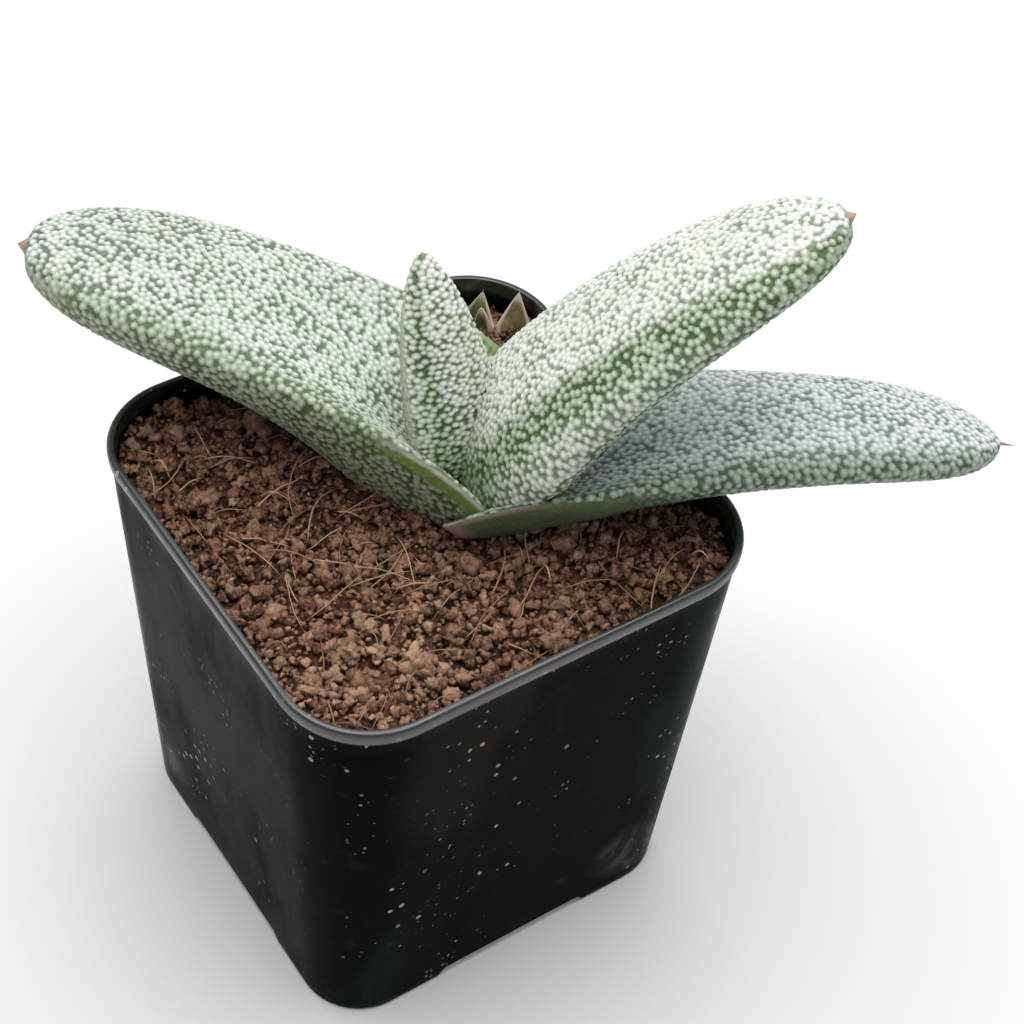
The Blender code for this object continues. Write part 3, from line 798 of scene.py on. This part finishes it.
def make_leaf(name, leaf, warts, material, seed):
    """A leaf's skin with its warts, replacing the smooth leaf."""
    rng = np.random.default_rng(seed)
    grid, shares, angles, upward, tip = blade(leaf, warts.step)
    normals = grid_normals(grid)
    facing = (normals * upward[:, None]).sum(axis=2)
    zones = leaf_zones(name, shares, angles, facing)
    wart = wart_heights(grid, shares, zones, warts, rng)
    height = warts.height * (0.7 + 0.3 * zones["face"])
    grid = grid + normals * (wart * height)[:, :, None]
    points, faces = closed_blade(grid, tip)
    to_tip = np.linalg.norm(grid - tip, axis=2)
    strength = min(1.0, leaf.point)
    redness = (1.0 - smoothstep(to_tip, 0.5 * leaf.point, 0.8 + 1.2 * leaf.point)) * strength
    layers = {"wart": wart, "tip": redness, **zones}
    ends = {"tip": (0.0, strength), "face": (0.0, 1.0)}  # at the middle of the root and at the tip
    attributes = {}
    for key, values in layers.items():
        attributes[key] = np.concatenate([values.ravel(), ends.get(key, (0.0, 0.0))])
    return piece(name + "_skin", points, faces, material, attributes)


def make_pup_leaf(name, leaf, material):
    """A small cupped leaf of the offset, with a pale margin and tip."""
    grid, shares, angles, _, tip = blade(leaf, PUP_STEP)
    across = smoothstep(np.abs(np.cos(angles)), 0.68, 0.86)[None, :] * np.ones((len(shares), 1))
    margin = np.maximum(across, smoothstep(shares, 0.72, 0.90)[:, None])
    points, faces = closed_blade(grid, tip)
    attributes = {"margin": np.concatenate([margin.ravel(), [0.0, 1.0]])}
    return piece(name + "_skin", points, faces, material, attributes)


# Pot

def rounded_square(half, corner, z, sway):
    """A ring of points round a square with rounded corners, whose sides bend in by the sway."""
    points = []
    for quarter in range(4):
        start = quarter * math.pi / 2
        centre_x = (half - corner) * (1 if quarter in (0, 3) else -1)
        centre_y = (half - corner) * (1 if quarter in (0, 1) else -1)
        for step in range(CORNER_STEPS + 1):
            angle = start + step / CORNER_STEPS * math.pi / 2
            points.append((centre_x + corner * math.cos(angle), centre_y + corner * math.sin(angle)))
        straight = 2 * (half - corner)
        x, y = points[-1]
        for step in range(1, SIDE_STEPS):
            share = step / SIDE_STEPS
            along = straight * share
            inward = sway * math.sin(math.pi * share)
            points.append((
                x - along * math.cos(start) + inward * math.sin(start),
                y - along * math.sin(start) - inward * math.cos(start),
            ))
    return np.array([(x, y, z) for x, y in points])


def wall_section(z):
    """Half the pot's outer width and the radius of its corners, at a height."""
    share = z / POT_HEIGHT
    half = POT_BOTTOM_HALF + (POT_TOP_HALF - POT_BOTTOM_HALF) * share
    corner = POT_BOTTOM_CORNER + (POT_TOP_CORNER - POT_BOTTOM_CORNER) * share
    return half, corner


def wall_ring(z, outset=0.0):
    """A ring round the pot's wall at a height, moved outwards by the outset."""
    half, corner = wall_section(z)
    sway = WALL_WAVE * math.sin(math.pi * (z / POT_HEIGHT))
    return rounded_square(half + outset, corner + outset, z, sway)


def loft_piece(name, rings, material):
    """A closed loft through the rings, each end closed by one face."""
    rows, cols = len(rings), len(rings[0])
    faces = grid_faces(rows, cols)
    faces.append(list(range(cols))[::-1])
    faces.append(list(range((rows - 1) * cols, rows * cols)))
    return piece(name, np.concatenate(rings), faces, material)


def cut_away(target, cutter):
    """Subtract the cutter from the target and delete it."""
    modifier = target.modifiers.new("cut", "BOOLEAN")
    modifier.operation = "DIFFERENCE"
    modifier.solver = "EXACT"
    modifier.object = cutter
    graph = bpy.context.evaluated_depsgraph_get()
    data = bpy.data.meshes.new_from_object(target.evaluated_get(graph))
    target.modifiers.remove(modifier)
    target.data = data
    bpy.data.objects.remove(cutter, do_unlink=True)


def arch_cutter(grow, along_x, material):
    """A bar right across under the pot, shaped like the arch between two feet."""
    half, top = ARCH_HALF + grow, ARCH_HEIGHT + grow
    slope = 2 * ARCH_SLOPE
    profile = (
        (-half, -CUTTER_BELOW), (half, -CUTTER_BELOW), (half, 0.0),
        (half - slope, top), (-half + slope, top), (-half, 0.0),
    )
    ends = (-CUTTER_REACH, CUTTER_REACH)
    if along_x:
        rings = [np.array([(x, y, z) for y, z in profile]) for x in ends]
    else:
        rings = [np.array([(-x, y, z) for x, z in profile]) for y in ends]
    return loft_piece("arch", rings, material)


def drain_cutter(x, y, material):
    """An upright rod through the pot's floor."""
    turns = np.linspace(0.0, 2 * math.pi, DRAIN_SIDES, endpoint=False)
    rings = [
        np.array([(x + DRAIN_RADIUS * math.cos(a), y + DRAIN_RADIUS * math.sin(a), z) for a in turns])
        for z in DRAIN_CUT
    ]
    return loft_piece("drain", rings, material)


def pot_rings():
    """Rings of the shell, from the foot over the rim to the lining, and of the cavity."""
    rim = POT_HEIGHT - RIM_HEIGHT
    shell = [wall_ring(z, out) for z, out in FOOT_PROFILE]
    shell += [wall_ring(z) for z in np.linspace(WALL_START, WALL_END, WALL_ROWS)]
    shell += [wall_ring(rim + z, out) for z, out in RIM_PROFILE]
    shell += [wall_ring(z, out) for z, out in LIP_PROFILE]
    shell.append(wall_ring(LINING, -POT_WALL))
    return shell, [wall_ring(z, -POT_WALL) for z in CAVITY_ROWS]


def make_pot(material):
    """The pot as one thin shell, with arches between its feet and holes in its floor."""
    shell_rings, cavity_rings = pot_rings()
    pot = loft_piece("pot_shell", shell_rings, material)
    cavity = loft_piece("cavity", cavity_rings, material)
    for along_x in (True, False):
        cut_away(cavity, arch_cutter(POT_WALL, along_x, material))
        cut_away(pot, arch_cutter(0.0, along_x, material))
    cut_away(pot, cavity)
    for x, y in DRAIN_PLACES:
        cut_away(pot, drain_cutter(x, y, material))
    pot.data.shade_smooth()
    pot.data.set_sharp_from_angle(angle=math.radians(SHARP_ANGLE))
    return pot


# Soil

def soil_height(x, y, inwards):
    """Height of the soil's smooth surface; inwards is 0 at the pot's wall and 1 on its axis."""
    level = SOIL_EDGE_LEVEL + (SOIL_LEVEL - SOIL_EDGE_LEVEL) * np.minimum(1.0, SOIL_SLOPE * inwards)
    bumps = np.sin(0.23 * x + 1.0) * np.cos(0.19 * y) + 0.6 * np.sin(0.47 * x + 0.36 * y)
    heap = 0.0
    for corner_x, corner_y in HEAP_CORNERS:
        distance = np.hypot(x - corner_x, y - corner_y)
        heap = heap + SOIL_HEAP * np.exp(-((distance / SOIL_HEAP_REACH) ** 2))
    return level + SOIL_BUMP * bumps + heap


def roughness(x, y, rng):
    """A sum of random waves, of which the longer ones are higher."""
    shortest, longest = SOIL_WAVE_LENGTHS
    total = 0.0
    for _ in range(SOIL_WAVES):
        length = math.exp(rng.uniform(math.log(shortest), math.log(longest)))
        turn, phase = rng.uniform(0.0, 2 * math.pi, 2)
        wave = 2 * math.pi / length
        total = total + length / longest * np.sin(wave * (x * math.cos(turn) + y * math.sin(turn)) + phase)
    return SOIL_WAVE_HEIGHT * total / math.sqrt(SOIL_WAVES)


def make_soil_body(material):
    """The soil that fills the pot, with a rough top under the crumbs."""
    inset = POT_WALL + SOIL_CLEARANCE
    rings = [wall_ring(ARCH_HEIGHT + POT_WALL + SOIL_CLEARANCE, -inset)]
    edge = wall_ring(SOIL_EDGE_LEVEL, -inset)
    for inwards in np.linspace(0.0, SOIL_MIDDLE, SOIL_RINGS):
        ring = edge * (1.0 - inwards)
        x, y = ring[:, 0], ring[:, 1]
        # the same seed each time, so that the waves run on from ring to ring
        waves = roughness(x, y, np.random.default_rng(SOIL_SEED))
        ring[:, 2] = soil_height(x, y, inwards) + waves - SOIL_SINK
        rings.append(ring)
    soil = loft_piece("soil_body", rings, material)
    for key, value in (("tint", 0.0), ("painted_shade", SOIL_PAINTED_SHADE)):
        layer = soil.data.attributes.new(key, "FLOAT", "POINT")
        layer.data.foreach_set("value", np.full(len(soil.data.vertices), value, np.float32))
    return soil


def ball(subdivisions):
    """Points and faces of a unit icosphere."""
    mesh = bmesh.new()
    bmesh.ops.create_icosphere(mesh, subdivisions=subdivisions, radius=1.0)
    points = np.array([vert.co[:] for vert in mesh.verts])
    faces = np.array([[vert.index for vert in face.verts] for face in mesh.faces])
    mesh.free()
    return points, faces


def random_turns(count, rng):
    """Random rotation matrices."""
    q = rng.normal(size=(count, 4))
    q /= np.linalg.norm(q, axis=1, keepdims=True)
    w, x, y, z = q.T
    return np.stack([
        np.stack([1 - 2 * (y * y + z * z), 2 * (x * y - w * z), 2 * (x * z + w * y)], axis=1),
        np.stack([2 * (x * y + w * z), 1 - 2 * (x * x + z * z), 2 * (y * z - w * x)], axis=1),
        np.stack([2 * (x * z - w * y), 2 * (y * z + w * x), 1 - 2 * (x * x + y * y)], axis=1),
    ], axis=1)


def inside_pot(x, y, inset):
    """Whether places on the soil lie inside the pot's outer wall by more than the inset."""
    half, corner = wall_section(SOIL_LEVEL)
    half = half - inset
    corner = corner - inset
    over_x = np.maximum(np.abs(x) - (half - corner), 0.0)
    over_y = np.maximum(np.abs(y) - (half - corner), 0.0)
    return np.hypot(over_x, over_y) < corner


def centrality(x, y):
    """How far inwards places lie: about 0 at the pot's wall and 1 on its axis."""
    return 1.0 - np.maximum(np.abs(x), np.abs(y)) / SOIL_HALF


def crumb_places(count, sizes, rng):
    """Where the crumbs lie on the soil, and their radii."""
    x = rng.uniform(-CRUMB_FIELD, CRUMB_FIELD, count * 2)
    y = rng.uniform(-CRUMB_FIELD, CRUMB_FIELD, count * 2)
    radius = np.exp(rng.uniform(math.log(sizes[0]), math.log(sizes[1]), count * 2))
    good = inside_pot(x, y, POT_WALL + radius * CRUMB_ROOM)
    x, y, radius = x[good][:count], y[good][:count], radius[good][:count]
    z = soil_height(x, y, centrality(x, y)) + radius * rng.uniform(*CRUMB_LIFT, len(x))
    return x, y, z, radius


def crumb_shapes(shape, radius, rng):
    """The unit ball's points for each crumb, stretched, made lumpy, scaled and turned."""
    count = len(radius)
    axes = rng.uniform(*CRUMB_STRETCH, (count, 1, 3))
    lumps = np.ones((count, len(shape)))
    for wave in range(CRUMB_WAVES):
        direction = rng.normal(size=(count, 1, 3)) * (1.0 + 1.1 * wave)
        phase = rng.uniform(0.0, 2 * math.pi, (count, 1))
        lumps += CRUMB_WAVE_HEIGHT * np.sin((shape[None] * direction).sum(axis=2) + phase)
    lumps += rng.normal(0.0, CRUMB_ROUGHNESS, lumps.shape)
    points = shape[None] * axes * lumps[:, :, None] * radius[:, None, None]
    return np.einsum("nij,nvj->nvi", random_turns(count, rng), points)


def crumb_tints(x, y, rng):
    """How pale each crumb is, with the palest round the patch of painted light."""
    tints = np.clip(rng.normal(*TINT_SPREAD, len(x)), *TINT_LIMITS)
    from_painted_light = (x - PAINTED_LIGHT_PLACE[0]) ** 2 + (y - PAINTED_LIGHT_PLACE[1]) ** 2
    # painted light: more pale crumbs towards the soil's front corner
    painted_light = np.exp(-(from_painted_light / PAINTED_LIGHT_REACH_SQUARED))
    return np.clip(tints + PAINTED_LIGHT_TINT * painted_light * rng.random(len(x)), 0.0, PALEST_TINT)


def make_crumbs(name, material, rng):
    """Lumpy crumbs lying on the soil, each with painted shade underneath."""
    count, sizes, subdivisions = CRUMBS[name]
    x, y, z, radius = crumb_places(count, sizes, rng)
    shape, ball_faces = ball(subdivisions)
    points = crumb_shapes(shape, radius, rng)
    # painted shade on each crumb's underside
    underside_shade = CRUMB_DARKEST * (1.0 - smoothstep(points[:, :, 2] / radius[:, None], *CRUMB_UNDERSIDE))
    points += np.stack([x, y, z], axis=1)[:, None]
    faces = ball_faces[None] + (np.arange(len(x)) * len(shape))[:, None, None]
    tints = np.repeat(crumb_tints(x, y, rng), len(shape))
    attributes = {"tint": tints, "painted_shade": underside_shade.ravel()}
    return piece(name, points.reshape(-1, 3), faces.reshape(-1, 3).tolist(), material, attributes)


def fibre_tube(path, radius, start):
    """Points and faces of a round fibre along a path, thinner at both ends.

    The start is the number of the fibre's first point in its piece.
    """
    ahead = np.gradient(path, axis=0)
    ahead /= np.linalg.norm(ahead, axis=1, keepdims=True)
    side = np.cross(ahead, (0.0, 0.0, 1.0))
    side /= np.linalg.norm(side, axis=1, keepdims=True) + 1e-9
    up = np.cross(side, ahead)
    turns = np.linspace(0.0, 2 * math.pi, FIBRE_SIDES, endpoint=False)
    from_end = np.minimum(np.linspace(0, 1, len(path)), np.linspace(1, 0, len(path)))
    girth = radius * np.minimum(1.0, 0.25 + 4.0 * from_end)
    ring = np.cos(turns)[None, :, None] * side[:, None] + np.sin(turns)[None, :, None] * up[:, None]
    points = path[:, None] + ring * girth[:, None, None]
    faces = grid_faces(len(path), FIBRE_SIDES, start)
    faces.append(list(range(start, start + FIBRE_SIDES))[::-1])
    last = start + (len(path) - 1) * FIBRE_SIDES
    faces.append(list(range(last, last + FIBRE_SIDES)))
    return points.reshape(-1, 3), faces


def fibre_path(rng):
    """A curved path over the soil, or nothing where it would leave the pot."""
    x, y = rng.uniform(-FIBRE_FIELD, FIBRE_FIELD, 2)
    length = rng.uniform(*FIBRE_LENGTHS)
    heading = rng.uniform(0.0, 2 * math.pi)
    bend = rng.normal(0.0, FIBRE_BEND)
    headings = heading + np.cumsum(rng.normal(bend, FIBRE_KINK, FIBRE_STEPS))
    x = x + np.cumsum(np.cos(headings)) * length / FIBRE_STEPS
    y = y + np.cumsum(np.sin(headings)) * length / FIBRE_STEPS
    if not inside_pot(x, y, POT_WALL + FIBRE_ROOM).all():
        return None
    share = np.linspace(0.0, 1.0, FIBRE_STEPS)
    hump = rng.uniform(*FIBRE_HUMP) * np.sin(math.pi * share) ** HUMP_POWER
    hump = hump + rng.uniform(*FIBRE_END_LIFT) * share
    z = soil_height(x, y, centrality(x, y)) + FIBRE_REST + hump
    return np.stack([x, y, z], axis=1)


def make_fibres(material, rng):
    """Fibres lying on the soil, as one piece."""
    points, faces, tints = [], [], []
    thinnest, thickest = FIBRE_RADII
    start = 0
    while len(points) < FIBRES:
        path = fibre_path(rng)
        if path is None:
            continue
        radius = math.exp(rng.uniform(math.log(thinnest), math.log(thickest)))
        tube_points, tube_faces = fibre_tube(path, radius, start)
        points.append(tube_points)
        faces += tube_faces
        tints.append(np.full(len(tube_points), rng.random()))
        start += len(tube_points)
    return piece("soil_fibres", np.concatenate(points), faces, material, {"tint": np.concatenate(tints)})


# Stage

def camera_axes():
    """The camera's right, upward and backward directions."""
    azimuth, elevation, roll = (math.radians(a) for a in (CAMERA_AZIMUTH, CAMERA_ELEVATION, CAMERA_ROLL))
    back = Vector((
        math.sin(azimuth) * math.cos(elevation),
        -math.cos(azimuth) * math.cos(elevation),
        math.sin(elevation),
    ))
    level = Vector((0.0, 0.0, 1.0)).cross(back).normalized()
    raised = back.cross(level)
    right = level * math.cos(roll) + raised * math.sin(roll)
    up = raised * math.cos(roll) - level * math.sin(roll)
    return right, up, back


def make_camera():
    data = bpy.data.cameras.new("camera")
    data.sensor_width = SENSOR
    data.lens = FOCAL_PIXELS / PHOTO_PIXELS * SENSOR
    data.clip_start, data.clip_end = CAMERA_CLIP
    camera = bpy.data.objects.new("camera", data)
    bpy.context.scene.collection.objects.link(camera)
    right, up, back = camera_axes()
    turn = Matrix((right, up, back)).transposed().to_4x4()
    place = Vector((np.array(CAMERA_PLACE) + POT_AXIS) * MM)
    camera.matrix_world = Matrix.Translation(place) @ turn
    bpy.context.scene.camera = camera


def make_lamp():
    data = bpy.data.lights.new("key", "AREA")
    data.shape = "DISK"
    data.size = LAMP_SIZE
    data.energy = LAMP_WATTS
    data.color = LAMP_COLOUR
    lamp = bpy.data.objects.new("key", data)
    bpy.context.scene.collection.objects.link(lamp)
    lamp.location = LAMP_PLACE
    lamp.rotation_mode = "QUATERNION"
    lamp.rotation_quaternion = (Vector(LAMP_TARGET) - Vector(LAMP_PLACE)).to_track_quat("-Z", "Y")


def make_stage():
    """The sky, the lamp and the floor, which isn't part of the object."""
    world = bpy.data.worlds.new("studio")
    world.use_nodes = True
    background = world.node_tree.nodes["Background"]
    background.inputs["Color"].default_value = (*SKY_COLOUR, 1.0)
    background.inputs["Strength"].default_value = SKY_STRENGTH
    bpy.context.scene.world = world
    make_lamp()
    bpy.context.scene.view_settings.view_transform = "Standard"
    signs = np.array([(-1, -1, 0), (1, -1, 0), (1, 1, 0), (-1, 1, 0)], float)
    floor = piece("floor", signs * FLOOR_REACH, [(0, 1, 2, 3)], floor_material(), smooth=False)


def show(obj, slot, *nodes):
    """Put a piece on the one body, in place of CAD nodes if any are given; the slot is not used."""
    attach(obj, "root")
    if nodes:
        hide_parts(*nodes)


def main():
    make_camera()
    make_stage()
    rng = np.random.default_rng(CRUMB_SEED)
    show(make_pot(pot_material()), "pot", "pot")
    soil_look = soil_material()
    show(make_soil_body(soil_look), "soil", "soil")
    for name in CRUMBS:
        show(make_crumbs(name, soil_look, rng), "soil")
    show(make_fibres(fibre_material(), rng), "soil")
    for seed, (name, leaf) in enumerate(LEAVES.items(), WART_SEED):
        look = leaf_material(name + "_look", SKINS[name])
        show(make_leaf(name, leaf, WARTS[name], look, seed), "leaf", name)
    green = pup_material("pup_green", *PUP_GREEN)
    brown = pup_material("pup_brown", *PUP_BROWN)
    for name, leaf in PUP_LEAVES.items():
        look = brown if name == "pup_leaf_right" else green
        show(make_pup_leaf(name, leaf, look), "pup_leaf", name)
    root_look = root_material()
    for name in ("stem_with_roots", "pup_stem"):
        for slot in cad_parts[name].material_slots:
            slot.material = root_look


main()
